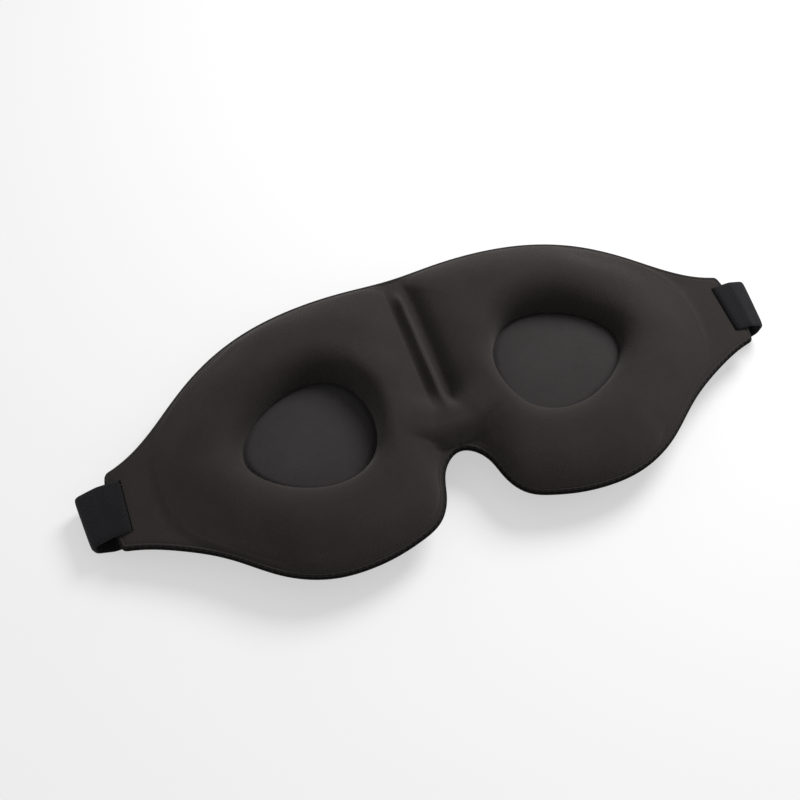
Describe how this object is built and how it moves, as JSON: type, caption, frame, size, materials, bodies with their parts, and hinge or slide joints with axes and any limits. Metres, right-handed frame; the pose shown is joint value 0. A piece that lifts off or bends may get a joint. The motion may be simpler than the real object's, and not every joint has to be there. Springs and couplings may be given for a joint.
{
  "type": "contoured sleep eye mask",
  "caption": "Charcoal contoured sleep mask: raised foam eye pads round egg-shaped cups, nose notch, slotted side tabs and an adjustable elastic strap folded underneath.",
  "frame": {"origin": "under the middle of the mask, on the underside of the strap slider that it lies on, at the strap's centre line", "axes": "+X along the mask towards the tight strap loop, +Y towards the brow edge, +Z out of the side that meets the face"},
  "size_m": [0.2373, 0.0961, 0.0226],
  "materials": {
    "outer_knit": "smooth matt charcoal knit",
    "lining_knit": "soft matt charcoal knit",
    "cup_floor_knit": "flat matt charcoal knit",
    "foam": "soft open foam, charcoal",
    "edge_band": "dark sewn edge band",
    "webbing": "woven elastic strap, near black",
    "slider_plastic": "moulded black plastic",
    "thread": "black sewing thread"
  },
  "bodies": {
    "mask": {"outer_cover": "outer_knit", "front_foam_shell": "foam", "eye_pad_foam_left": "foam", "eye_pad_foam_right": "foam", "pad_cover_left": "lining_knit", "pad_cover_right": "lining_knit", "cup_floor_left": "cup_floor_knit", "cup_floor_right": "cup_floor_knit", "face_panel": "lining_knit", "nose_bridge_foam": "foam", "nose_bridge_cover": "lining_knit", "edge_binding": "edge_band"},
    "strap_left_arm": {"strap_left_arm": "webbing", "strap_left_stitches": "thread"},
    "strap_left_rear": {"strap_left_rear": "webbing", "strap_slider": "slider_plastic", "slider_stitches": "thread"},
    "strap_right_arm": {"strap_right_arm": "webbing", "strap_right_stitches": "thread"},
    "strap_right_rear": {"strap_right_rear": "webbing", "hem_stitches": "thread"}
  },
  "joints": [
    {"name": "strap_left_swing", "type": "hinge", "parent": "mask", "child": "strap_left_arm", "pos_m": [-0.1075, 0, 0.00978], "axis": [0, 1, 0], "range_deg": [0, 90]},
    {"name": "strap_left_bend", "type": "hinge", "parent": "strap_left_arm", "child": "strap_left_rear", "pos_m": [-0.0735, 0, 0.0036], "axis": [0, 1, 0], "range_deg": [-90, 0]},
    {"name": "strap_right_swing", "type": "hinge", "parent": "mask", "child": "strap_right_arm", "pos_m": [0.1075, 0, 0.00978], "axis": [0, -1, 0], "range_deg": [0, 90]},
    {"name": "strap_right_bend", "type": "hinge", "parent": "strap_right_arm", "child": "strap_right_rear", "pos_m": [0.0735, 0, 0.0036], "axis": [0, -1, 0], "range_deg": [-90, 0]}
  ],
  "couplings": [
    {"joint": "strap_left_bend", "follows": "strap_left_swing", "ratio": -1},
    {"joint": "strap_right_swing", "follows": "strap_left_swing", "ratio": 1},
    {"joint": "strap_right_bend", "follows": "strap_left_swing", "ratio": -1}
  ]
}
